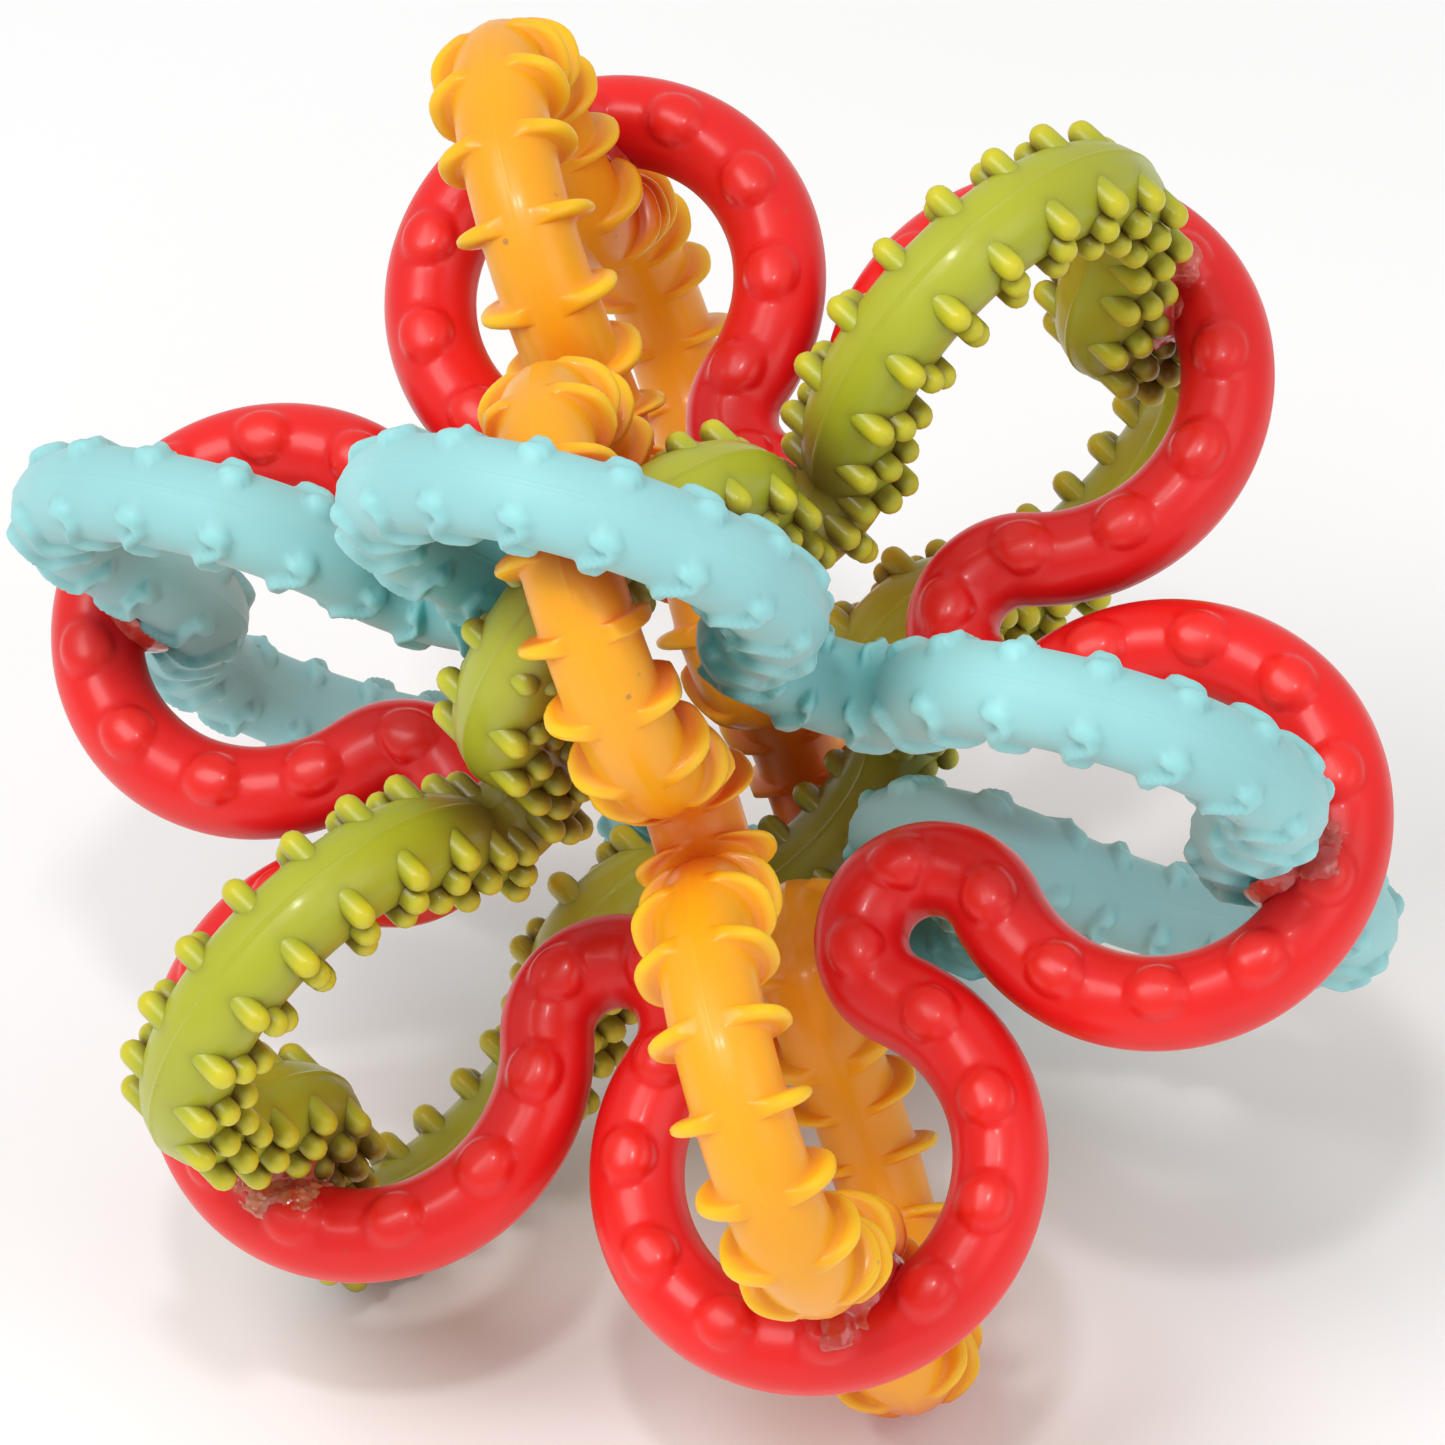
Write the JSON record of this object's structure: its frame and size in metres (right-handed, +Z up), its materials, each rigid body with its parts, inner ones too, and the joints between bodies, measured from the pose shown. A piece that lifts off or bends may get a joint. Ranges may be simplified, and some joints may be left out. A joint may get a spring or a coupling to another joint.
{
  "type": "silicone teething clutch ball",
  "caption": "Open baby teething and clutch ball of interlaced wavy silicone tube rings, bonded where they cross, each ring with its own chewable surface relief.",
  "frame": {"origin": "centre of the ball, where the axes of all its rings cross", "axes": "+Z up with the ball lying still on three lobes; +X through the two bonds of the outer upright ring; the polar axis leans 37 degrees from +Z towards -Y"},
  "size_m": [0.12, 0.1116, 0.107],
  "materials": {
    "red_silicone": "glossy translucent moulded silicone",
    "teal_silicone": "matte moulded silicone",
    "yellow_silicone": "satin translucent moulded silicone",
    "green_silicone": "satin translucent moulded silicone",
    "clear_adhesive": "clear cured silicone adhesive, glossy"
  },
  "bodies": {
    "equator": {"equator_ring": "red_silicone", "outer_bond_a": "clear_adhesive", "outer_bond_b": "clear_adhesive", "middle_bond_a": "clear_adhesive", "middle_bond_b": "clear_adhesive", "inner_bond_a": "clear_adhesive", "inner_bond_b": "clear_adhesive"},
    "outer": {"outer_ring": "teal_silicone"},
    "middle": {"middle_ring": "yellow_silicone"},
    "inner": {"inner_ring": "green_silicone"}
  },
  "joints": [
    {"name": "outer_twist", "type": "hinge", "parent": "equator", "child": "outer", "pos_m": [0, 0, 0], "axis": [1, 0, 0], "range_deg": [-3, 3], "stiffness_Nm_per_rad": 2},
    {"name": "middle_twist", "type": "hinge", "parent": "equator", "child": "middle", "pos_m": [0, 0, 0], "axis": [-0.5, 0.6916, 0.5212], "range_deg": [-3, 3], "stiffness_Nm_per_rad": 2},
    {"name": "inner_twist", "type": "hinge", "parent": "equator", "child": "inner", "pos_m": [0, 0, 0], "axis": [0.5, 0.6916, 0.5212], "range_deg": [-3, 3], "stiffness_Nm_per_rad": 2}
  ]
}
